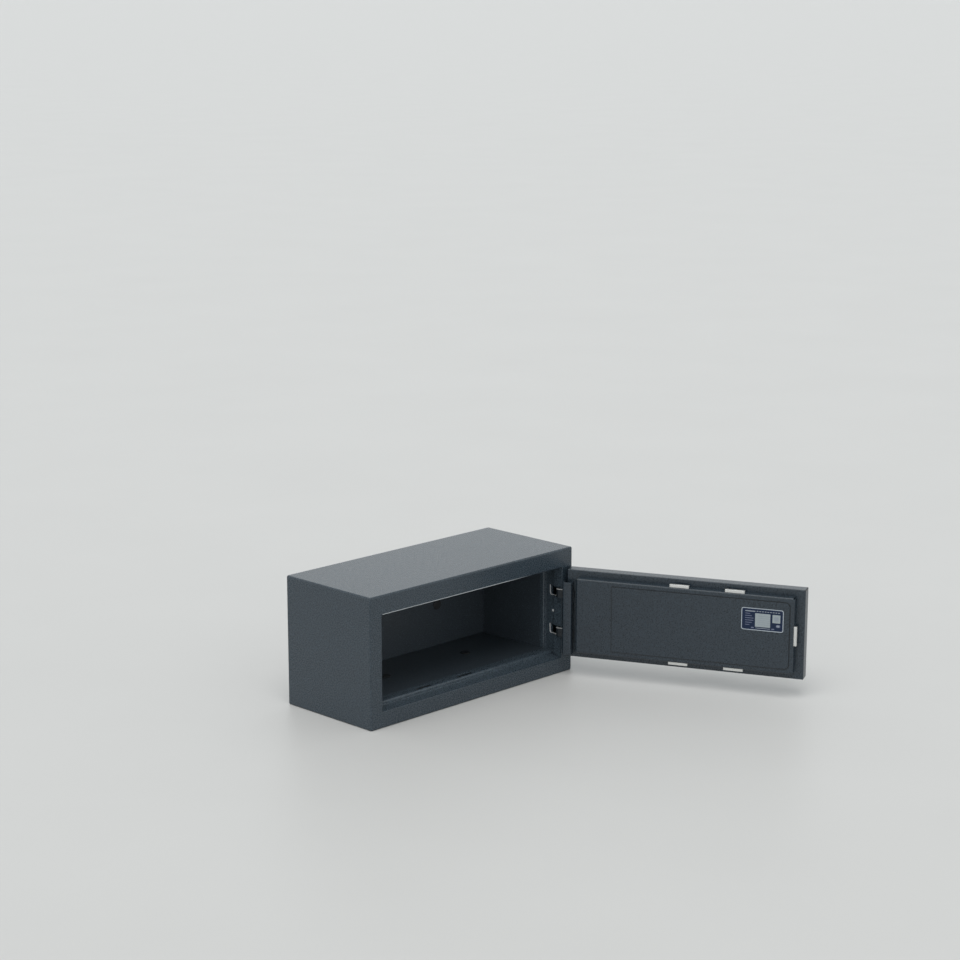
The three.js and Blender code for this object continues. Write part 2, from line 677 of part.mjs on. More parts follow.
function cabinet() {
  const group = new THREE.Group();
  piece(group, 'cabinet_shell', cabinetShell(), paint);
  piece(group, 'back_plate', backPlate(), paint);
  piece(group, 'sill_jamb', levelJamb(SILL, FLOOR), paint);
  piece(group, 'head_jamb', levelJamb(HEAD, CEILING), paint);
  piece(group, 'left_jamb', leftJamb(), paint);
  piece(group, 'right_jamb', rightJamb(), paint);
  piece(group, 'liner_wrap', linerWrap(), linerPaint);
  piece(group, 'liner_back', linerBack(), linerPaint);
  fillings(group);
  anchorPlugs(group);
  hingeSupports(group);
  return group;
}

// Door pan: outer plate with folded flanges and a rim turned in behind
function doorPan() {
  const outside = roundedBlock(
    [DOOR_LEFT, DOOR_RIGHT], [FRONT, RIM_BACK], [DOOR_LOW, DOOR_HIGH], PAN_CORNER, PAN_CORNER, PAN_CORNER,
  );
  const s = PAN_SHEET;
  const inside = block(DOOR_LEFT + s, DOOR_RIGHT - s, FRONT + s, RIM_BACK - s, DOOR_LOW + s, DOOR_HIGH - s);
  const r = RIM_LAP;
  const rim = [BOX_LOW + r, BOX_HIGH - r];
  const mouth = block(BOX_LEFT + r, BOX_RIGHT - r, FRONT + s, RIM_BACK + OVERCUT, ...rim);
  const through = [FRONT - OVERCUT, FRONT + s + OVERCUT];
  const spindle = rodY(BOLT_CENTRE, DOOR_MIDDLE, ...through, SPINDLE_RADIUS + FIT);
  const core = rodY(KEY_X, KEY_Z, ...through, CORE_RADIUS + FIT);
  return cut(outside, inside, mouth, spindle, core);
}

// Slots for the bolts in the walls of the lock box
function boxSlots() {
  const half = BOLT_WIDTH / 2 + SLOT_PLAY;
  const y0 = BOLT_FRONT - SLOT_PLAY;
  const y1 = BOLT_BACK + SLOT_PLAY;
  const deep = BOX_EDGE + OVERCUT;
  const ends = [[BOX_HIGH - deep, BOX_HIGH + OVERCUT], [BOX_LOW - OVERCUT, BOX_LOW + deep]];
  const upright = BOLT_COLUMNS.flatMap((x) => ends.map((z) => block(x - half, x + half, y0, y1, ...z)));
  const free = [BOX_LEFT - OVERCUT, BOX_LEFT + deep];
  const side = block(...free, y0, y1, DOOR_MIDDLE - half, DOOR_MIDDLE + half);
  return [...upright, side];
}

// Relief holes where two folded walls of the lock box meet
function boxReliefs() {
  const inset = BOX_RELIEF / 2;
  return [BOX_LEFT + inset, BOX_RIGHT - inset].flatMap((x) =>
    [BOX_LOW + inset, BOX_HIGH - inset].map((z) =>
      rodY(x, z, RIM_BACK, BOX_FACE + OVERCUT, BOX_RELIEF, SIDES.rivet)));
}

function coverOutline(inset = 0) {
  return {
    x0: BOX_LEFT + COVER_MARGIN_FREE + inset,
    x1: BOX_RIGHT - COVER_MARGIN_HINGE - inset,
    z0: BOX_LOW + COVER_MARGIN + inset,
    z1: BOX_HIGH - COVER_MARGIN - inset,
  };
}

function lockBox() {
  const s = BOX_SHEET;
  const outside = roundedBlock(
    [BOX_LEFT, BOX_RIGHT], [RIM_BACK + FIT, BOX_FACE], [BOX_LOW, BOX_HIGH], BOX_EDGE, 0, BOX_EDGE,
  );
  const bend = BOX_EDGE - s;
  const inside = roundedBlock(
    [BOX_LEFT + s, BOX_RIGHT - s], [RIM_BACK, BOX_FACE - s], [BOX_LOW + s, BOX_HIGH - s], bend, 0, bend,
  );
  const { x0, x1, z0, z1 } = coverOutline(COVER_OVERLAP);
  const access = block(x0, x1, BOX_FACE - s - OVERCUT, BOX_FACE + OVERCUT, z0, z1);
  return cut(outside, inside, access, ...boxSlots(), ...boxReliefs());
}

function lockCover() {
  const { x0, x1, z0, z1 } = coverOutline();
  const r = COVER_CORNER;
  const shape = new THREE.Shape();
  shape.moveTo(x0 + r, z0).lineTo(x1, z0).lineTo(x1, z1).lineTo(x0 + r, z1);
  shape.absarc(x0 + r, z1 - r, r, Math.PI / 2, Math.PI);
  shape.absarc(x0 + r, z0 + r, r, Math.PI, 1.5 * Math.PI);
  return alongY(shape, BOX_FACE + FIT, BOX_FACE + FIT + COVER_SHEET, STEPS.cover);
}

// Bar along the hinge side of the door
function hingeBar() {
  const x1 = DOOR_RIGHT + BAR_REACH;
  const x0 = x1 - BAR_WIDTH;
  const strapBack = RIM_BACK + FIT + STRAP_SHEET + FIT;
  const path = [[x0, RIM_BACK + FIT], [x0, BOX_FACE], [x1, BOX_FACE], [x1, strapBack]];
  const z0 = DOOR_LOW + BAR_END_LOW;
  const z1 = DOOR_HIGH - BAR_END_HIGH;
  const channel = alongZ(foldedSheet(path.reverse(), BAR_SHEET, BEND), z0, z1);
  const half = STRAP_HEIGHT / 2 + FIT;
  const gaps = HINGE_LEVELS.map((z) => block(0, RIGHT, FRONT, strapBack, z - half, z + half));
  return cut(channel, ...gaps);
}

// Hinge strap: rolled eye about the pin, a leg and a root welded across the rim
function hingeStrap(z) {
  const inner = PIN_RADIUS + FIT;
  const ring = new THREE.Shape().absarc(AXIS_X, AXIS_Y, inner + STRAP_SHEET, 0, 2 * Math.PI);
  ring.holes.push(new THREE.Path().absarc(AXIS_X, AXIS_Y, inner, 0, 2 * Math.PI));
  const legX = AXIS_X + inner;
  const rootY = RIM_BACK + FIT;
  const path = [[legX, AXIS_Y], [legX, rootY], [DOOR_RIGHT - STRAP_ROOT, rootY]];
  const strip = foldedSheet(path.reverse(), STRAP_SHEET, STRAP_BEND);
  const z0 = z - STRAP_HEIGHT / 2;
  const z1 = z + STRAP_HEIGHT / 2;
  return join(alongZ(ring, z0, z1, STEPS.eye), alongZ(strip, z0, z1));
}

function door() {
  const group = new THREE.Group();
  piece(group, 'door_pan', doorPan(), doorPaint);
  piece(group, 'lock_box', lockBox(), doorPaint);
  piece(group, 'lock_cover', lockCover(), doorPaint);
  piece(group, 'hinge_bar', hingeBar(), doorPaint);
  piece(group, 'hinge_strap_lower', hingeStrap(HINGE_LEVELS[0]), doorPaint);
  piece(group, 'hinge_strap_upper', hingeStrap(HINGE_LEVELS[1]), doorPaint);
  return group;
}

// Boltwork. The main slide moves sideways with the side bolt; its sloping slots push the two
// carriers up and down by the same amount.
function lockBoltColumn() {
  return KEY_X + KEY_CRANK / Math.SQRT2;
}

function toothPlace() {
  const half = LOCK_BOLT_WIDTH / 2;
  return lockBoltColumn() + half + (THROW - LOCK_BOLT_WIDTH - TOOTH_WIDTH) / 2;
}

function mainSlide() {
  const y0 = SLIDE_FRONT;
  const y1 = SLIDE_FRONT + SLIDE_SHEET;
  const m = DOOR_MIDDLE;
  const outline = rectangle(SLIDE_LEFT, SLIDE_RIGHT, m - SLIDE_RISE, m + SLIDE_RISE, SLIDE_CORNER);
  const plate = alongY(outline, y0, y1);
  const boltRoot = BOX_LEFT - BOLT_SHOWS + BOLT_LENGTH;
  const armZ = [m - SLIDE_ARM_WIDTH / 2, m + SLIDE_ARM_WIDTH / 2];
  const arm = block(boltRoot - SLIDE_ARM_LAP, SLIDE_LEFT + SLIDE_CORNER, y0, y1, ...armZ);
  const tailEnd = toothPlace() + TOOTH_WIDTH;
  const tail = block(SLIDE_RIGHT - SLIDE_CORNER, tailEnd, y0, y1, m - TAIL_RISE, m + TAIL_RISE);
  const tooth = block(toothPlace(), tailEnd, y0, y1, m - TAIL_RISE - LOCK_TRAVEL, m);
  const drive = BOLT_CENTRE + CRANK * Math.sin(CRANK_SWING * Math.PI / 180);
  const low = m + CRANK * Math.cos(CRANK_SWING * Math.PI / 180) - FIT;
  const cutThrough = (shape) => alongY(shape, y0 - OVERCUT, y1 + OVERCUT, STEPS.slot);
  const slots = [
    cutThrough(slotShape(drive, low, drive, m + CRANK + FIT, SLOT)),
    ...GUIDE_X.map((x) => cutThrough(slotShape(x, m, x + THROW, m, STUD_RADIUS + FIT))),
    ...CARRIER_PIN_X.flatMap((x) => [1, -1].map((side) => {
      const z = m + side * CARRIER_PIN_RISE;
      return cutThrough(slotShape(x, z, x + THROW, z + side * THROW, SLOT));
    })),
  ];
  return cut(join(plate, arm, tail, tooth), ...slots);
}

function sideBolt() {
  const tip = BOX_LEFT - BOLT_SHOWS;
  const half = BOLT_WIDTH / 2;
  const root = tip + BOLT_LENGTH;
  const bar = block(tip, root, BOLT_FRONT, BOLT_BACK, DOOR_MIDDLE - half, DOOR_MIDDLE + half);
  const footY = [SLIDE_FRONT + SLIDE_SHEET + FIT, BOLT_FRONT + OVERLAP];
  const footZ = [DOOR_MIDDLE - SIDE_BOLT_FOOT_WIDTH / 2, DOOR_MIDDLE + SIDE_BOLT_FOOT_WIDTH / 2];
  const foot = block(root - SIDE_BOLT_FOOT_LENGTH, root, ...footY, ...footZ);
  return join(bar, foot);
}

// The carrier plate above (side 1) or below (side -1) the middle of the door
function carrier(side) {
  const y0 = CARRIER_FRONT;
  const y1 = CARRIER_FRONT + SLIDE_SHEET;
  const m = DOOR_MIDDLE;
  const zs = [m + side * CARRIER_LOW, m + side * CARRIER_HIGH].sort((a, b) => a - b);
  const edge = BOLT_PITCH / 2 + BOLT_WIDTH / 2;
  const outline = rectangle(BOLT_CENTRE - edge, BOLT_CENTRE + edge, ...zs, CARRIER_CORNER);
  const plate = alongY(outline, y0, y1);
  const slots = CARRIER_GUIDE_X.map((x) => {
    const z = m + side * CARRIER_STUD_RISE;
    const shape = slotShape(x, z - side * THROW, x, z, STUD_RADIUS + FIT);
    return alongY(shape, y0 - OVERCUT, y1 + OVERCUT, STEPS.slot);
  });
  const room = rodY(BOLT_CENTRE, m, y0 - OVERCUT, y1 + OVERCUT, CRANK + DRIVE_PIN + CRANK_ROOM);
  const z = m + side * CARRIER_PIN_RISE;
  const pins = CARRIER_PIN_X.map((x) => rodY(x, z, SLIDE_FRONT, y0 + OVERLAP, DRIVE_PIN, SIDES.stud));
  return join(cut(plate, ...slots, room), ...pins);
}

function endBolt(x, side) {
  const tip = side > 0 ? BOX_HIGH + BOLT_SHOWS : BOX_LOW - BOLT_SHOWS;
  const zs = [tip, tip - side * BOLT_LENGTH].sort((a, b) => a - b);
  return block(x - BOLT_WIDTH / 2, x + BOLT_WIDTH / 2, BOLT_FRONT, BOLT_BACK, ...zs);
}

function stud(x, z, y1) {
  const y0 = FRONT + PAN_SHEET + FIT;
  const shank = rodY(x, z, y0, y1 + OVERLAP, STUD_RADIUS, SIDES.stud);
  const head = rodY(x, z, y1, y1 + STUD_HEAD_THICKNESS, STUD_HEAD, SIDES.stud);
  return join(shank, head);
}

function boltwork(group) {
  const m = DOOR_MIDDLE;
  const slideTop = SLIDE_FRONT + SLIDE_SHEET + FIT;
  const carrierTop = CARRIER_FRONT + SLIDE_SHEET + FIT;
  const ends = ['free_side', 'hinge_side'];
  GUIDE_X.forEach((x, i) => piece(group, `slide_stud_${ends[i]}`, stud(x, m, slideTop), steel));
  piece(group, 'main_slide', mainSlide(), zinc);
  piece(group, 'side_bolt', sideBolt(), zinc);
  [['upper', 1], ['lower', -1]].forEach(([name, side]) => {
    piece(group, `${name}_carrier`, carrier(side), zinc);
    ends.forEach((end, i) => {
      const level = m + side * CARRIER_STUD_RISE;
      piece(group, `${name}_stud_${end}`, stud(CARRIER_GUIDE_X[i], level, carrierTop), steel);
      piece(group, `${name}_bolt_${end}`, endBolt(BOLT_COLUMNS[i], side), zinc);
    });
  });
}

// Handle, spindle and crank disc
function handle(group) {
  const swing = CRANK_SWING * Math.PI / 180;
  const m = DOOR_MIDDLE;
  const y0 = FRONT - FIT - ROSE_THICKNESS;
  const bore = SPINDLE_RADIUS + FIT;
  const rose = turnedY(BOLT_CENTRE, m, [
    [bore, y0], [ROSE_RADIUS - ROSE_CHAMFER, y0], [ROSE_RADIUS, y0 + ROSE_CHAMFER],
    [ROSE_RADIUS, FRONT - FIT], [bore, FRONT - FIT], [bore, y0],
  ]);
  piece(group, 'handle_rose', rose, chrome);
  const y1 = y0 - FIT;
  const tip = y1 - KNOB_LENGTH;
  const knob = turnedY(BOLT_CENTRE, m, [
    [0, tip], [KNOB_RADIUS - KNOB_CROWN, tip], [KNOB_RADIUS - KNOB_TAPER, tip + KNOB_CROWN_RISE],
    [KNOB_RADIUS, tip + KNOB_CROWN], [KNOB_RADIUS - KNOB_TAPER, y1 - KNOB_SHOULDER],
    [KNOB_NECK_RADIUS, y1 - KNOB_NECK_LENGTH], [KNOB_NECK_RADIUS, y1], [0, y1],
  ], SIDES.knob);
  const socket = rodY(BOLT_CENTRE, m, y1 - SOCKET_DEPTH, y1 + OVERCUT, bore);
  const flutes = Array.from({ length: FLUTES }, (_, i) => {
    const angle = i * 2 * Math.PI / FLUTES;
    const reach = KNOB_RADIUS + FLUTE_OFFSET;
    const x = BOLT_CENTRE + reach * Math.cos(angle);
    const z = m + reach * Math.sin(angle);
    return rodY(x, z, tip - OVERCUT, y1 - FLUTE_END, FLUTE_RADIUS, SIDES.rivet);
  });
  piece(group, 'handle_knob', cut(knob, socket, ...flutes), chrome);
  const discBack = DISC_FRONT + DISC_THICKNESS;
  const spindleTip = y1 - SOCKET_DEPTH + SOCKET_PLAY;
  piece(group, 'spindle', rodY(BOLT_CENTRE, m, spindleTip, discBack, SPINDLE_RADIUS), steel);
  const disc = rodY(BOLT_CENTRE, m, DISC_FRONT, discBack, DISC_RADIUS, SIDES.disc);
  const hub = rodY(BOLT_CENTRE, m, DISC_FRONT - OVERCUT, discBack + OVERCUT, bore);
  const pinX = BOLT_CENTRE + CRANK * Math.sin(swing);
  const pinZ = m + CRANK * Math.cos(swing);
  const pinY = [discBack - OVERLAP, SLIDE_FRONT + SLIDE_SHEET];
  const drivePin = rodY(pinX, pinZ, ...pinY, DRIVE_PIN, SIDES.stud);
  piece(group, 'crank_disc', join(cut(disc, hub), drivePin), steel);
}

// Key lock: case, turning core with a crank pin, and the small bolt that blocks the main slide
function keyLock(group) {
  const caseBack = SLIDE_FRONT + SLIDE_SHEET + CASE_BACK;
  const caseFront = FRONT + PAN_SHEET + FIT;
  const column = lockBoltColumn();
  const boltTop = DOOR_MIDDLE - TAIL_RISE - LOCK_TRAVEL - 2 * FIT;
  const caseTop = boltTop - LOCK_BOLT_SHOWS;
  const wall = CASE_WALL;
  const half = LOCK_BOLT_WIDTH / 2;
  const y0 = SLIDE_FRONT - FIT;
  const y1 = SLIDE_FRONT + SLIDE_SHEET + FIT;
  const x0 = KEY_X - CASE_LEFT;
  const x1 = KEY_X + CASE_RIGHT;
  const low = KEY_Z - CASE_DROP;
  const shellCase = block(x0, x1, caseFront, caseBack, low, caseTop);
  const room = block(x0 + wall, x1 - wall, caseFront + wall, caseBack - wall, low + wall, caseTop - wall);
  const exitZ = [caseTop - wall - OVERCUT, caseTop + OVERCUT];
  const exit = block(column - half - FIT, column + half + FIT, y0 - FIT, y1 + FIT, ...exitZ);
  const bore = CORE_RADIUS + FIT;
  const coreHole = rodY(KEY_X, KEY_Z, caseFront - OVERCUT, caseFront + wall + OVERCUT, bore);
  piece(group, 'lock_case', cut(shellCase, room, exit, coreHole), steel);

  const pinX = column;
  const pinZ = KEY_Z - KEY_CRANK / Math.SQRT2;
  const tailX = [pinX - LOCK_TAIL_WIDTH / 2, pinX + LOCK_TAIL_WIDTH / 2];
  const tail = block(...tailX, y0, y1, pinZ - LOCK_TAIL_LOW, pinZ + LOCK_TAIL_HIGH);
  const stem = block(column - half, column + half, y0, y1, pinZ, boltTop);
  const slotX = [pinX - KEY_SLOT_BEFORE, pinX + KEY_SLOT_AFTER];
  const slotOutline = slotShape(slotX[0], pinZ, slotX[1], pinZ, KEY_PIN + KEY_SLOT_PLAY);
  const slot = alongY(slotOutline, y0 - OVERCUT, y1 + OVERCUT, STEPS.slot);
  piece(group, 'lock_bolt', cut(join(tail, stem), slot), brass);

  const face = FRONT - FIT - SHIELD_THICKNESS;
  const core = rodY(KEY_X, KEY_Z, face, y0 - FIT, CORE_RADIUS);
  const keyDeep = [face - OVERCUT, face + KEYWAY_DEPTH];
  const keyHalf = KEYWAY_WIDTH / 2;
  const roundZ = KEY_Z + KEYWAY_RISE;
  const keyway = join(
    rodY(KEY_X, roundZ, ...keyDeep, KEYWAY_ROUND, SIDES.keyway),
    block(KEY_X - keyHalf, KEY_X + keyHalf, ...keyDeep, KEY_Z - KEYWAY_DROP, roundZ),
  );
  const pin = rodY(pinX, pinZ, y0 - FIT - OVERLAP, y1, KEY_PIN, SIDES.keyway);
  piece(group, 'key_core', join(cut(core, keyway), pin), brass);

  const shield = turnedY(KEY_X, KEY_Z, [
    [bore, face], [SHIELD_RADIUS - SHIELD_CHAMFER, face], [SHIELD_RADIUS, face + SHIELD_CHAMFER],
    [SHIELD_RADIUS, FRONT - FIT], [bore, FRONT - FIT], [bore, face],
  ]);
  const pivotZ = KEY_Z + SHIELD_RADIUS - RIVET_INSET;
  const coverFront = face - FIT - KEY_COVER_SHEET;
  const headBack = coverFront - FIT;
  const headFront = headBack - RIVET_HEAD_THICKNESS;
  const rivet = join(
    rodY(KEY_X, pivotZ, headBack - RIVET_HEAD_THICKNESS / 2, face + OVERLAP, RIVET_RADIUS, SIDES.rivet),
    rodY(KEY_X, pivotZ, headFront, headBack, RIVET_HEAD_RADIUS, SIDES.rivet),
  );
  piece(group, 'key_shield', join(shield, rivet), chrome);
  const drop = new THREE.Shape();
  drop.absarc(KEY_X, pivotZ, KEY_COVER_EYE, 0, Math.PI);
  const lowZ = KEY_Z - KEY_COVER_DROP;
  drop.absarc(KEY_X, lowZ, KEY_COVER_RADIUS, Math.PI + KEY_COVER_TURN, 2 * Math.PI - KEY_COVER_TURN);
  drop.holes.push(new THREE.Path().absarc(KEY_X, pivotZ, RIVET_RADIUS + FIT, 0, 2 * Math.PI));
  piece(group, 'key_cover', alongY(drop, coverFront, face - FIT, STEPS.drop), chrome);
}

const safe = new THREE.Group();
safe.add(cabinet());
const swing = new THREE.Group();
swing.position.set(AXIS_X, AXIS_Y, 0);
swing.rotation.z = THREE.MathUtils.degToRad(DOOR_OPEN);
const closedPlace = door();
closedPlace.position.set(-AXIS_X, -AXIS_Y, 0);
boltwork(closedPlace);
handle(closedPlace);
keyLock(closedPlace);
swing.add(closedPlace);
safe.add(swing);

export default safe;
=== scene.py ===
"""Looks of the furniture safe: paint, plated metal, trim, painted highlights and painted shade, blank label
plate, floor, light and camera.
"""

import json
import math
from collections import namedtuple

import bmesh
import bpy
from mathutils import Matrix, Vector

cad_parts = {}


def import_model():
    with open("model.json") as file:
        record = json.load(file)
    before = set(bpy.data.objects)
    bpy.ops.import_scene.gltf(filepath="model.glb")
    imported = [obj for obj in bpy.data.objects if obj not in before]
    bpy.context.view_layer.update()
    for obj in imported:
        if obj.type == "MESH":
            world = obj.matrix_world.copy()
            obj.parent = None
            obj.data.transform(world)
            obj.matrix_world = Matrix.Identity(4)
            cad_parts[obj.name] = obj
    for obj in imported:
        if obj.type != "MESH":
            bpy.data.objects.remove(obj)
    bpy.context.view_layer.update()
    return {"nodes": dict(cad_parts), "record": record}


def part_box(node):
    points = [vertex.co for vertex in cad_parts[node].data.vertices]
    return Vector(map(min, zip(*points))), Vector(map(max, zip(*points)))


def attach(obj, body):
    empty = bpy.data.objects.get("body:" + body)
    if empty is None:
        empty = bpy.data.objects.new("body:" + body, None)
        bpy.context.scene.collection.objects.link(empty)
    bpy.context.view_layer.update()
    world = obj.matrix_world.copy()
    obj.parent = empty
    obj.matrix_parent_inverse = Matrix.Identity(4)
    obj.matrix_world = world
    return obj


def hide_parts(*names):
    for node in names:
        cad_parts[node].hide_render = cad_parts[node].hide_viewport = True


MM = 0.001

# Light: the surround at the horizon and overhead, and one wide softbox from above on the left
HORIZON_LIGHT = 1.2
ZENITH_LIGHT = 0.46
SOFTBOX_LIGHT = 1.56
SOFTBOX_SPREAD = math.radians(50)
SOFTBOX_FROM = (-0.36, -0.2, 0.9)
SKY_TINT = (0.94, 0.98, 1.0)
BACKDROP = (0.71, 0.72, 0.715, 1)

# Floor, in metres from its middle to its edge, and its two mingled tones
FLOOR_SIZE = 150
FLOOR_DARK = (0.55, 0.545, 0.53, 1)
FLOOR_PALE = (0.58, 0.575, 0.56, 1)

# Camera, as fitted to the photograph's edges
CAMERA_PLACE = (-2.6929, -2.7826, 1.2333)
CAMERA_AZIMUTH = math.radians(45.29)
CAMERA_PITCH = math.radians(12.43)
FOCAL_PIXELS = 2250.7
FRAME_PIXELS = 960
SENSOR = 36
NEAREST = 0.05
FARTHEST = 400

# Paints and metals
BODY_PAINT = (0.024, 0.036, 0.047)
LINER_PAINT = (0.036, 0.046, 0.056)
DOOR_PAINT = (0.018, 0.027, 0.036)
# Paler copy of the body paint for the jambs: painted light in the shade of the opening
JAMB_PAINT_LIFTED = (0.044, 0.060, 0.074)
STRAP_PAINT = (0.008, 0.012, 0.016)
# Pale paint on the hinge brackets: painted light that lifts the shade seen through the hinge windows
BRACKET_PALE_FILL = (0.5, 0.5, 0.48)
# Dark tone of the strips that paint the shade in the door's joints
JOINT_SHADE = (0.005, 0.007, 0.009)
ZINC = (0.72, 0.72, 0.70)
STEEL = (0.5, 0.51, 0.52)
# Pale tone of the painted highlight on the top rail's rolled edge
RAIL_HIGHLIGHT_TONE = (0.5, 0.53, 0.55)
CHROME = (0.78, 0.79, 0.8)
BRASS = (0.62, 0.46, 0.2)
PLASTIC = (0.016, 0.017, 0.018)
FILLING = (0.35, 0.33, 0.3)
# Shades of the pale steel that paints highlights on cut edges and a glint on the screw
HIGHLIGHT_BRIGHT = 0.95
HIGHLIGHT_DIM = 0.45
COAT_GRAIN = 2.0
COAT_PEEL = 4.5

# Door: its hinge axis in millimetres, and its turn at rest
HINGE_X = 232.5
HINGE_Y = -97
DOOR_OPEN = math.radians(115)

# Rounded edges, in millimetres
EDGE_ROUND = {
    "cabinet_shell": 0.5,
    "back_plate": 0.4,
    "sill_jamb": 0.4,
    "head_jamb": 0.4,
    "left_jamb": 0.4,
    "right_jamb": 0.25,
    "door_pan": 0.4,
    "lock_box": 0.25,
    "lock_cover": 0.25,
    "hinge_bar": 0.4,
    "hinge_strap_lower": 0.3,
    "hinge_strap_upper": 0.3,
    "side_bolt": 0.6,
    "upper_bolt_free_side": 0.6,
    "upper_bolt_hinge_side": 0.6,
    "lower_bolt_free_side": 0.6,
    "lower_bolt_hinge_side": 0.6,
    "handle_knob": 0.3,
    "handle_rose": 0.3,
    "key_shield": 0.2,
    "key_cover": 0.2,
    "key_core": 0.15,
}
ROUND_STEPS = 2
SHARP_EDGE = math.radians(35)
FLAT_ANGLE = math.radians(0.5)
SAME_POINT = 0.002

# Label plate on the lock cover, in millimetres
LABEL_WIDTH = 75.5
LABEL_HEIGHT = 40.5
LABEL_CENTRE_X = -147.5
LABEL_CENTRE_Z = 142
LABEL_THICKNESS = 0.4
LABEL_CORNER = 4
LABEL_BORDER = 1.3
PRINT_RAISE = 0.08
FILM = (0.003, 0.013, 0.042)
FILM_SHEEN = 0.3
INKS = {
    "pale": (0.28, 0.32, 0.335),
    "grey": (0.24, 0.27, 0.31),
    "rim": (0.38, 0.42, 0.46),
    "faint": (0.13, 0.15, 0.22),
}

# Plain fields of the label: across counts from its centre away from the hinges, and level 2 lies on level 1
Field = namedtuple("Field", "name across up width height ink corner level", defaults=(0.4, 1))
LABEL_FIELDS = (
    Field("field_large", 0.6, -1.2, 27.2, 24.5, "pale"),
    Field("field_small", 25, 3.4, 14, 14.8, "pale"),
    Field("field_core", 25, 3.4, 8, 7.5, "grey", 1, 2),
    Field("oval", 28.3, -9.4, 7.6, 5, "faint", 2.49),
    Field("oval_core", 28.3, -9.4, 4.8, 2.6, "grey", 1.29, 2),
    Field("heading", -21.8, 14.3, 18, 1.8, "grey"),
)
FOOT_FIELDS = (
    Field("foot", 1, -15.8, 26, 1, "grey", 0.3),
    Field("foot_near", -17.5, -15.6, 5, 1.8, "faint"),
    Field("foot_far", 19, -15.6, 5, 1.8, "faint"),
)
DASHES = 9
DASH_START = -9
DASH_PITCH = 4.8
DASH_UP = 14.7
DASH_LENGTH = 3.2
DASH_HEIGHT = 1.3
RULE_START = -31
RULE_LENGTHS = (9, 12, 15, 15, 12, 8)
RULE_TOP = 9.8
RULE_PITCH = 4.1
RULE_HEIGHT = 1.1
ENTRIES = 5
ENTRY_ACROSS = 3
ENTRY_TOP = 6.3
ENTRY_PITCH = 3.8
ENTRY_LENGTH = 21
ENTRY_HEIGHT = 0.7
LINE_CORNER = 0.3
ENTRY_CORNER = 0.2

# Hinge windows in the right jamb: the recess sheet, the window's reach and its levels, in millimetres
RECESS_X = 228
RECESS_SHEET = 2
FRONT_Y = -106
POST_DEPTH = 22
POST_LAP = 0.5
WINDOW_END = 34.5
WINDOW_HALF = 9
WINDOW_CORNER = 3
WINDOW_LEVELS = {"lower": 77.75, "upper": 150.75}
WINDOW_EDGE = 0.35
WINDOW_EDGE_RAISE = 0.1
BACKING_START = 29
BACKING_END = 38.5
BACKING_MARGIN = 2
BACKING_GAP = 0.1
BACKING_SHEET = 1

# Painted highlight on the top edge of the hinge straps, in millimetres
STRAP_EDGE_RAISE = 0.8
STRAP_EDGE_START = -85.3
STRAP_TOP_REACH = 0.1
LEVEL_NORMAL = 0.99

# Painted shade of the joint round the cover plate, in millimetres
COVER_CORNER = 8
SEAM_GAP = 0.3
SEAM_WIDTH = 1.4
SEAM_FOOT = 0.02
SEAM_RAISE = 0.12

# Painted shade in the open joints of the folded door pan's corners, in millimetres
PAN_CORNER = 1.5
JOINT_RAISE = 0.06
JOINT_FROM = 5
JOINT_TURN = 80

# Painted highlight along the rolled lower edge of the top rail, in millimetres
HEAD_Z = 199
OPENING_ROLL = 1.5
HIGHLIGHT_START = -221
HIGHLIGHT_END = 140
HIGHLIGHT_FADE = 60
HIGHLIGHT_FOOT = 0.02
HIGHLIGHT_RAISE = 0.1

# Steps in a quarter turn
ARC_STEPS = 6
PLATE_STEPS = 5
FIELD_STEPS = 3

# Sockets of a colour mix node: its factor, its two colours and its result
MIX_FACTOR = 0
MIX_FIRST = 6
MIX_SECOND = 7
MIX_RESULT = 2


class Graph:
    """Node tree of a material or a world, with short calls for the nodes used here."""

    def __init__(self, owner):
        owner.use_nodes = True
        self.tree = owner.node_tree
        self.places = self.add("ShaderNodeTexCoord").outputs

    def add(self, kind, inputs=None, **settings):
        node = self.tree.nodes.new(kind)
        for key, value in settings.items():
            setattr(node, key, value)
        for key, value in (inputs or {}).items():
            self.put(node.inputs[key], value)
        return node

    def put(self, socket, value):
        if isinstance(value, bpy.types.NodeSocket):
            self.tree.links.new(value, socket)
        else:
            socket.default_value = value

    def noise(self, size, detail, rough=0.55, stretch=(1, 1, 1)):
        """Noise whose features measure about size millimetres."""
        mapped = self.add("ShaderNodeMapping", {"Vector": self.places["Object"], "Scale": stretch})
        scale = 1 / MM / size
        node = self.add(
            "ShaderNodeTexNoise",
            {"Vector": mapped.outputs[0], "Scale": scale, "Detail": detail, "Roughness": rough},
        )
        return node.outputs["Fac"]

    def span(self, value, low, high, to_low=0.0, to_high=1.0):
        node = self.add(
            "ShaderNodeMapRange",
            {"Value": value, "From Min": low, "From Max": high, "To Min": to_low, "To Max": to_high},
        )
        return node.outputs["Result"]

    def mix(self, factor, first, second):
        colours = {MIX_FACTOR: factor, MIX_FIRST: first, MIX_SECOND: second}
        return self.add("ShaderNodeMix", colours, data_type="RGBA").outputs[MIX_RESULT]

    def bump(self, height, distance, strength, normal=None):
        reach = distance * MM
        node = self.add("ShaderNodeBump", {"Height": height, "Distance": reach, "Strength": strength})
        if normal is not None:
            self.put(node.inputs["Normal"], normal)
        return node.outputs["Normal"]


class Finish(Graph):
    """Graph of a new material."""

    def __init__(self, name):
        self.material = bpy.data.materials.new(name)
        super().__init__(self.material)
        self.shader = self.tree.nodes["Principled BSDF"]

    def surface(self, **values):
        """Sets the shader's own sockets, such as base_color or roughness."""
        for key, value in values.items():
            self.put(self.shader.inputs[key.replace("_", " ").title()], value)


def tone(colour, factor=1.0):
    """The colour times factor, opaque."""
    return tuple(min(1.0, part * factor) for part in colour) + (1.0,)


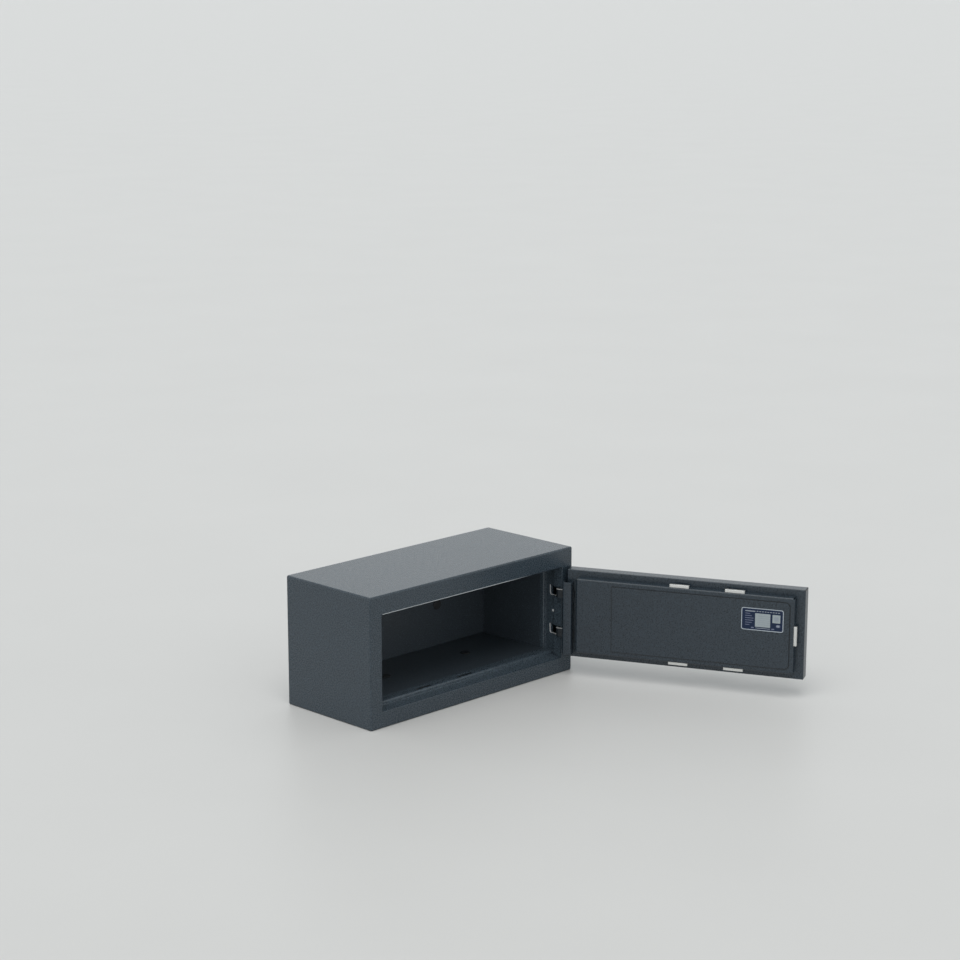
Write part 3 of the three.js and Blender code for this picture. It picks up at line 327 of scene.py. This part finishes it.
def powder_coat(name, colour, rough):
    """Fine textured powder coat: mottled pigment, sparse light specks, orange peel and grain."""
    graph = Finish(name)
    mottle = graph.span(graph.noise(COAT_GRAIN, 2.0), 0.35, 0.65)
    cloud = graph.span(graph.noise(60, 2.0), 0.3, 0.7)
    speck = graph.span(graph.noise(COAT_GRAIN * 0.8, 1.0), 0.62, 0.72)
    base = graph.mix(mottle, tone(colour, 0.6), tone(colour, 1.4))
    base = graph.mix(graph.span(cloud, 0, 1, 0, 0.18), base, tone(colour, 1.25))
    base = graph.mix(graph.span(speck, 0, 1, 0, 0.6), base, tone(colour, 3.6))
    graph.surface(base_color=base, roughness=graph.span(mottle, 0, 1, rough - 0.06, rough + 0.1))
    peel = graph.bump(graph.noise(COAT_PEEL, 1.0), 0.03, 0.5)
    graph.surface(normal=graph.bump(graph.noise(COAT_GRAIN * 0.8, 2.0), 0.028, 0.6, peel))
    return graph.material


def brushed_metal(name, colour, rough, stretch, scratch=0.35, metallic=1.0):
    """Plated metal with fine lines along one way and slight cloudiness."""
    graph = Finish(name)
    lines = graph.noise(0.5, 2.0, 0.6, stretch)
    cloud = graph.span(graph.noise(14, 3.0), 0.3, 0.7)
    base = graph.mix(graph.span(lines, 0.3, 0.7, 0, scratch), tone(colour), tone(colour, 0.78))
    base = graph.mix(graph.span(cloud, 0, 1, 0, 0.12), base, tone(colour, 1.1))
    graph.surface(base_color=base, roughness=graph.span(lines, 0.3, 0.7, rough - 0.05, rough + 0.12))
    graph.surface(normal=graph.bump(lines, 0.02, 0.4), metallic=metallic)
    return graph.material


def edge_highlight(name, shade):
    """Pale, slightly metallic steel that paints a highlight on a cut edge or a small part."""
    return brushed_metal(name, (shade, shade, shade * 0.99), 0.45, (1, 1, 1), 0.1, 0.2)


def moulded_plastic(name, colour):
    """Black plastic with a fine moulded grain."""
    graph = Finish(name)
    grain = graph.noise(0.7, 2.0)
    base = graph.mix(grain, tone(colour, 0.8), tone(colour, 1.3))
    graph.surface(base_color=base, roughness=graph.span(grain, 0.3, 0.7, 0.45, 0.6))
    graph.surface(normal=graph.bump(grain, 0.03, 0.5))
    return graph.material


def cast_filling(name, colour):
    """Coarse, dull mineral filling."""
    graph = Finish(name)
    grit = graph.noise(2.5, 5.0, 0.7)
    base = graph.mix(grit, tone(colour, 0.6), tone(colour, 1.2))
    graph.surface(base_color=base, roughness=0.95, normal=graph.bump(grit, 0.6, 0.8))
    return graph.material


def printed_film(name, colour, sheen=0.5):
    """Printed film of the label: even ink with a faint grain and handling haze."""
    graph = Finish(name)
    haze = graph.span(graph.noise(9, 3.0), 0.3, 0.7)
    grain = graph.noise(0.4, 1.0)
    base = graph.mix(graph.span(grain, 0.3, 0.7, 0, 0.2), tone(colour), tone(colour, 0.8))
    base = graph.mix(graph.span(haze, 0, 1, 0, 0.08), base, tone(colour, 1.6))
    graph.surface(base_color=base, roughness=graph.span(haze, 0, 1, 0.42, 0.6))
    graph.surface(normal=graph.bump(grain, 0.01, 0.3))
    graph.shader.inputs["Specular IOR Level"].default_value = sheen
    return graph.material


def slot_materials():
    """One material for each material slot of the record."""
    return {
        "body_paint": powder_coat("body_paint", BODY_PAINT, 0.26),
        "liner_paint": powder_coat("liner_paint", LINER_PAINT, 0.38),
        "door_paint": powder_coat("door_paint", DOOR_PAINT, 0.3),
        "zinc_plate": brushed_metal("zinc_plate", ZINC, 0.38, (1, 1, 0.08)),
        "bare_steel": brushed_metal("bare_steel", STEEL, 0.34, (0.1, 1, 1)),
        "chrome_plate": brushed_metal("chrome_plate", CHROME, 0.16, (1, 1, 1), 0.1),
        "lock_brass": brushed_metal("lock_brass", BRASS, 0.3, (1, 1, 0.2)),
        "black_plastic": moulded_plastic("black_plastic", PLASTIC),
        "barrier_filling": cast_filling("barrier_filling", FILLING),
    }


def node_finishes():
    """Finishes of single nodes that differ from their slot's."""
    # The jambs take a paler copy of the body paint, as painted light in the opening's shade
    surround = powder_coat("jamb_paint_lifted", JAMB_PAINT_LIFTED, 0.3)
    strap = powder_coat("strap_paint", STRAP_PAINT, 0.45)
    # Pale bracket paint, painted light in the shade behind the hinge windows
    bracket_fill = powder_coat("bracket_fill_paint", BRACKET_PALE_FILL, 0.5)
    finishes = {name: surround for name in ("sill_jamb", "head_jamb", "left_jamb", "right_jamb")}
    finishes.update({f"hinge_strap_{level}": strap for level in WINDOW_LEVELS})
    finishes.update({f"hinge_bracket_{level}": bracket_fill for level in WINDOW_LEVELS})
    # The plated screw is made paler to paint in its glint
    finishes["jamb_screw"] = edge_highlight("screw_glint_metal", HIGHLIGHT_BRIGHT)
    return finishes


def tidy_mesh(source):
    """The node's mesh with shared corners and whole flat faces in place of triangles."""
    mesh = bmesh.new()
    mesh.from_mesh(source.data)
    bmesh.ops.remove_doubles(mesh, verts=mesh.verts, dist=SAME_POINT * MM)
    bmesh.ops.dissolve_limit(mesh, angle_limit=FLAT_ANGLE, verts=mesh.verts, edges=mesh.edges)
    return mesh


def new_object(name, mesh, material):
    """A piece of the scene from mesh, which is used up."""
    data = bpy.data.meshes.new(name)
    mesh.to_mesh(data)
    mesh.free()
    piece = bpy.data.objects.new(name, data)
    piece.data.materials.append(material)
    bpy.context.scene.collection.objects.link(piece)
    return piece


def rounded_copy(node, body, material, width):
    """The node's shape with its sharp edges rounded and its curves shaded smooth, standing for the node."""
    mesh = tidy_mesh(node)
    for face in mesh.faces:
        face.smooth = True
    piece = new_object(f"{node.name}_finish", mesh, material)
    bevel = piece.modifiers.new("rounding", "BEVEL")
    bevel.width = width * MM
    bevel.segments = ROUND_STEPS
    bevel.limit_method = "ANGLE"
    bevel.angle_limit = SHARP_EDGE
    bevel.use_clamp_overlap = True
    shading = piece.modifiers.new("shading", "WEIGHTED_NORMAL")
    shading.mode = "FACE_AREA"
    shading.weight = 100
    bpy.context.view_layer.update()
    graph = bpy.context.evaluated_depsgraph_get()
    drawn = piece.evaluated_get(graph)
    shaped = bpy.data.meshes.new_from_object(drawn, preserve_all_data_layers=True, depsgraph=graph)
    piece.modifiers.clear()
    piece.data = shaped
    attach(piece, body)
    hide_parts(node.name)


def dress_nodes(frame, materials):
    """Every CAD node gets its finish, on its own mesh or on a copy with rounded edges."""
    finishes = node_finishes()
    slots = {part["node"]: part["material_slot"] for part in frame["record"]["subparts"]}
    for body, names in frame["record"]["behaviour"]["bodies"].items():
        for name in names:
            node = frame["nodes"][name]
            material = finishes.get(name, materials[slots[name]])
            if name in EDGE_ROUND:
                rounded_copy(node, body, material, EDGE_ROUND[name])
            else:
                node.data.materials.clear()
                node.data.materials.append(material)


def quarter(centre, radius, first, steps=ARC_STEPS):
    """Points of a quarter turn about centre; first counts the quarter turns before it."""
    points = []
    for step in range(steps + 1):
        angle = (first + step / steps) * math.pi / 2
        points.append((centre[0] + radius * math.cos(angle), centre[1] + radius * math.sin(angle)))
    return points


def closed_strip(mesh, outlines):
    """Side faces between two outlines of equally many points, and the rows of corners they join."""
    low, high = (
        [mesh.verts.new([part * MM for part in point]) for point in outline]
        for outline in outlines
    )
    for i in range(len(low)):
        j = (i + 1) % len(low)
        mesh.faces.new([low[i], low[j], high[j], high[i]])
    return low, high


def door_frame():
    """The turn that takes the closed door's places, in metres, to its open place at rest."""
    hinge = Vector((HINGE_X * MM, HINGE_Y * MM, 0))
    turn = Matrix.Rotation(DOOR_OPEN, 4, "Z")
    return Matrix.Translation(hinge) @ turn @ Matrix.Translation(-hinge)


def closed_box(node):
    """Lowest and highest corner of a door node in the closed door's frame, in millimetres."""
    closed = door_frame().inverted()
    corners = [closed @ vertex.co / MM for vertex in bpy.data.objects[node].data.vertices]
    return [Vector([pick(axis) for axis in zip(*corners)]) for pick in (min, max)]


def raised_plate(name, outline, centre, y0, y1, material, hole=None):
    """A plate on the door's inner face: outline in X and Z about centre, from y0 to y1, in millimetres."""
    mesh = bmesh.new()
    rings = [
        closed_strip(mesh, [[(centre[0] + x, y, centre[1] + z) for x, z in points] for y in (y0, y1)])
        for points in ([outline, hole] if hole else [outline])
    ]
    if hole:
        for outer, inner in zip(*rings):
            for i in range(len(outer)):
                j = (i + 1) % len(outer)
                mesh.faces.new([outer[i], outer[j], inner[j], inner[i]])
    else:
        for ring in rings[0]:
            mesh.faces.new(ring)
    bmesh.ops.recalc_face_normals(mesh, faces=mesh.faces)
    mesh.transform(door_frame())
    piece = new_object(name, mesh, material)
    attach(piece, "door")


def prism(name, section, x0, x1, material, body):
    """A closed strip: its outline in Y and Z, given in millimetres, raised along X from x0 to x1."""
    mesh = bmesh.new()
    for ring in closed_strip(mesh, [[(x, y, z) for y, z in section] for x in (x0, x1)]):
        mesh.faces.new(ring)
    bmesh.ops.recalc_face_normals(mesh, faces=mesh.faces)
    piece = new_object(name, mesh, material)
    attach(piece, body)
    return piece


def rounded_outline(width, height, radius, steps=PLATE_STEPS):
    """Rectangle about the origin with rounded corners."""
    points = []
    for corner, (sx, sz) in enumerate(((1, 1), (-1, 1), (-1, -1), (1, -1))):
        centre = (sx * (width / 2 - radius), sz * (height / 2 - radius))
        points += quarter(centre, radius, corner, steps)
    return points


def label_lines():
    """The label's repeated lines: heading dashes, rules at the left and entries on the large field."""
    for number in range(DASHES):
        across = DASH_START + DASH_PITCH * number
        name = f"heading_dash_{number + 1}"
        yield Field(name, across, DASH_UP, DASH_LENGTH, DASH_HEIGHT, "grey", LINE_CORNER)
    for number, length in enumerate(RULE_LENGTHS):
        across = RULE_START + length / 2
        up = RULE_TOP - RULE_PITCH * number
        yield Field(f"rule_{number + 1}", across, up, length, RULE_HEIGHT, "faint", LINE_CORNER)
    for number in range(ENTRIES):
        up = ENTRY_TOP - ENTRY_PITCH * number
        name = f"entry_{number + 1}"
        yield Field(name, ENTRY_ACROSS, up, ENTRY_LENGTH, ENTRY_HEIGHT, "grey", ENTRY_CORNER, 2)


def label_plate():
    """Blank rating plate: dark film with a pale border, pale fields and ruled lines, no lettering."""
    film = printed_film("label_navy", FILM, FILM_SHEEN)
    inks = {name: printed_film(f"label_{name}", colour) for name, colour in INKS.items()}
    cover_back = closed_box("lock_cover")[1].y
    top = cover_back + LABEL_THICKNESS
    centre = (LABEL_CENTRE_X, LABEL_CENTRE_Z)
    outline = rounded_outline(LABEL_WIDTH, LABEL_HEIGHT, LABEL_CORNER)
    raised_plate("label_plate", outline, centre, cover_back, top, film)
    inner = [size - 2 * LABEL_BORDER for size in (LABEL_WIDTH, LABEL_HEIGHT)]
    hole = rounded_outline(*inner, LABEL_CORNER - LABEL_BORDER)
    raised_plate("label_border", outline, centre, top, top + PRINT_RAISE, inks["rim"], hole)
    for field in (*LABEL_FIELDS, *label_lines(), *FOOT_FIELDS):
        place = (LABEL_CENTRE_X - field.across, LABEL_CENTRE_Z + field.up)
        shape = rounded_outline(field.width, field.height, field.corner, FIELD_STEPS)
        high = top + field.level * PRINT_RAISE
        raised_plate(f"label_{field.name}", shape, place, high - PRINT_RAISE, high, inks[field.ink])


def window_path(level, inset):
    """The deep edge, rounded corner and lower edge of a hinge window, drawn in by inset."""
    deep = FRONT_Y + WINDOW_END
    low = level - WINDOW_HALF
    centre = (deep - WINDOW_CORNER, low + WINDOW_CORNER)
    arc = quarter(centre, WINDOW_CORNER - inset, -1)[::-1]
    return [(deep - inset, level + WINDOW_HALF), *arc, (FRONT_Y + POST_DEPTH + POST_LAP, low + inset)]


def hinge_windows(paint):
    """Painted highlights on the cut edges of the two hinge windows, and the plate that backs each window's
    deep end.
    """
    pale_highlight = edge_highlight("edge_highlight", HIGHLIGHT_BRIGHT)
    front = RECESS_X - WINDOW_EDGE_RAISE
    back = RECESS_X + RECESS_SHEET
    for name, level in WINDOW_LEVELS.items():
        edge = window_path(level, 0) + window_path(level, WINDOW_EDGE)[::-1]
        prism(f"window_edge_{name}", edge, front, back, pale_highlight, "cabinet")
        y0, y1 = FRONT_Y + BACKING_START, FRONT_Y + BACKING_END
        half = WINDOW_HALF + BACKING_MARGIN
        backing = [(y0, level - half), (y1, level - half), (y1, level + half), (y0, level + half)]
        face = back + BACKING_GAP
        prism(f"window_backing_{name}", backing, face, face + BACKING_SHEET, paint, "cabinet")


def strap_edges():
    """Painted highlight on the top edge of each hinge strap, between its leg and the hinge bar."""
    pale_highlight = edge_highlight("strap_edge_highlight", HIGHLIGHT_DIM)
    bar_end = closed_box("hinge_bar")[1].x + SEAM_GAP
    limits = (((bar_end * MM, 0, 0), (1, 0, 0)), ((0, STRAP_EDGE_START * MM, 0), (0, 1, 0)))
    for level in WINDOW_LEVELS:
        node = f"hinge_strap_{level}"
        mesh = tidy_mesh(bpy.data.objects[node])
        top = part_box(node)[1].z
        others = [
            face for face in mesh.faces
            if face.normal.z < LEVEL_NORMAL or face.calc_center_median().z < top - STRAP_TOP_REACH * MM
        ]
        bmesh.ops.delete(mesh, geom=others, context="FACES")
        mesh.transform(door_frame().inverted())
        for place, way in limits:
            geom = mesh.verts[:] + mesh.edges[:] + mesh.faces[:]
            bmesh.ops.bisect_plane(mesh, geom=geom, plane_co=place, plane_no=way, clear_inner=True)
        mesh.transform(door_frame())
        grown = bmesh.ops.extrude_face_region(mesh, geom=mesh.faces[:], use_keep_orig=True)
        raised = [part for part in grown["geom"] if isinstance(part, bmesh.types.BMVert)]
        bmesh.ops.translate(mesh, verts=raised, vec=(0, 0, STRAP_EDGE_RAISE * MM))
        bmesh.ops.recalc_face_normals(mesh, faces=mesh.faces)
        piece = new_object(f"strap_edge_{level}", mesh, pale_highlight)
        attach(piece, "door")


def rail_highlight_paint():
    """Body paint turned to pale steel as a painted highlight, fading towards the hinges."""
    graph = Finish("rail_highlight_finish")
    along = graph.add("ShaderNodeSeparateXYZ", {"Vector": graph.places["Object"]}).outputs["X"]
    fade = graph.span(along, (HIGHLIGHT_END - HIGHLIGHT_FADE) * MM, HIGHLIGHT_END * MM, 1, 0)
    patch = graph.span(graph.noise(14, 3.0), 0.25, 0.5, 0.75, 1)
    share = graph.add("ShaderNodeMath", {0: fade, 1: patch}, operation="MULTIPLY").outputs[0]
    # The pale steel tone is a painted highlight on the rolled edge
    graph.surface(base_color=graph.mix(share, tone(BODY_PAINT), tone(RAIL_HIGHLIGHT_TONE)), roughness=0.4)
    return graph.material


def rail_highlight():
    """Painted highlight along the rolled lower edge of the top rail."""
    centre = (FRONT_Y + OPENING_ROLL, HEAD_Z + OPENING_ROLL)
    outer = quarter(centre, OPENING_ROLL + HIGHLIGHT_RAISE, 2)
    inner = quarter(centre, OPENING_ROLL + HIGHLIGHT_FOOT, 2)
    piece = prism("rail_highlight", outer + inner[::-1], HIGHLIGHT_START, HIGHLIGHT_END, rail_highlight_paint(), "cabinet")


def seam_outline(width, height, grow):
    """The cover's outline about its centre: rounded at the free side, square at the hinge side."""
    w, h = width / 2 + grow, height / 2 + grow
    radius = COVER_CORNER + grow
    upper = quarter((radius - w, h - radius), radius, 1)
    lower = quarter((radius - w, radius - h), radius, 2)
    return [(w, -h), (w, h), *upper, *lower]


def cover_seam(paint):
    """Painted shade of the joint round the cover plate: a dark strip on the face of the lock box."""
    low, high = closed_box("lock_cover")
    centre = ((low.x + high.x) / 2, (low.z + high.z) / 2)
    box_face = low.y - SEAM_GAP
    outer = seam_outline(high.x - low.x, high.z - low.z, SEAM_WIDTH)
    inner = seam_outline(high.x - low.x, high.z - low.z, 0)
    raised_plate("cover_seam", outer, centre, box_face + SEAM_FOOT, box_face + SEAM_RAISE, paint, inner)


def pan_corner_joints(paint):
    """Painted shade in the open joints where the folded flanges of the door pan meet at its corners."""
    low, high = closed_box("door_pan")
    start = low.y + PAN_CORNER
    stop = high.y - PAN_CORNER / 2
    turned = [math.radians(JOINT_FROM + JOINT_TURN * step / ARC_STEPS) for step in range(ARC_STEPS + 1)]

    def arc(radius, way, lift):
        return [(way * radius * math.cos(angle), lift * radius * math.sin(angle)) for angle in turned]

    for end, x, way in (("free", low.x, -1), ("hinge", high.x, 1)):
        for level, z, lift in (("lower", low.z, -1), ("upper", high.z, 1)):
            centre = (x - way * PAN_CORNER, z - lift * PAN_CORNER)
            section = arc(PAN_CORNER + JOINT_RAISE, way, lift) + arc(PAN_CORNER / 2, way, lift)[::-1]
            raised_plate(f"pan_joint_{level}_{end}", section, centre, start, stop, paint)


def floor():
    """Wide pale floor with a faint mottle."""
    mesh = bmesh.new()
    bmesh.ops.create_grid(mesh, x_segments=1, y_segments=1, size=FLOOR_SIZE)
    graph = Finish("floor_finish")
    base = graph.mix(graph.noise(420, 4.0), FLOOR_DARK, FLOOR_PALE)
    graph.surface(base_color=base, roughness=graph.span(graph.noise(3, 2.0), 0.3, 0.7, 0.42, 0.5))
    piece = new_object("floor", mesh, graph.material)


def sky(world):
    """Soft studio surround: brightest at the horizon, dimmer overhead, plain where it is seen."""
    graph = Graph(world)
    level = graph.add("ShaderNodeSeparateXYZ", {"Vector": graph.places["Generated"]}).outputs["Z"]
    strength = graph.span(level, 0, 1, HORIZON_LIGHT, ZENITH_LIGHT)
    light = graph.add("ShaderNodeVectorMath", {0: SKY_TINT, "Scale": strength}, operation="SCALE")
    seen = graph.add("ShaderNodeLightPath").outputs["Is Camera Ray"]
    colour = graph.mix(seen, light.outputs[0], BACKDROP)
    graph.put(graph.tree.nodes["Background"].inputs["Color"], colour)


def studio():
    """The surround and one soft light from above on the left."""
    world = bpy.data.worlds.new("studio")
    bpy.context.scene.world = world
    sky(world)
    data = bpy.data.lights.new("softbox", "SUN")
    data.energy = SOFTBOX_LIGHT
    data.angle = SOFTBOX_SPREAD
    lamp = bpy.data.objects.new("softbox", data)
    lamp.rotation_euler = (-Vector(SOFTBOX_FROM)).to_track_quat("-Z", "Y").to_euler()
    bpy.context.scene.collection.objects.link(lamp)
    bpy.context.scene.view_settings.view_transform = "Standard"


def camera():
    """Viewpoint of the photograph."""
    data = bpy.data.cameras.new("camera")
    data.sensor_width = SENSOR
    data.lens = FOCAL_PIXELS * SENSOR / FRAME_PIXELS
    data.clip_start = NEAREST
    data.clip_end = FARTHEST
    view = bpy.data.objects.new("camera", data)
    view.location = CAMERA_PLACE
    view.rotation_euler = (math.pi / 2 - CAMERA_PITCH, 0, -CAMERA_AZIMUTH)
    bpy.context.scene.collection.objects.link(view)
    bpy.context.scene.camera = view


def main():
    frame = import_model()
    camera()
    studio()
    floor()
    materials = slot_materials()
    dress_nodes(frame, materials)
    label_plate()
    hinge_windows(materials["body_paint"])
    strap_edges()
    rail_highlight()
    # Dark strips of painted shade in the cover's joint and the pan's corner joints
    joint_shade = moulded_plastic("painted_joint_shade", JOINT_SHADE)
    cover_seam(joint_shade)
    pan_corner_joints(joint_shade)


main()
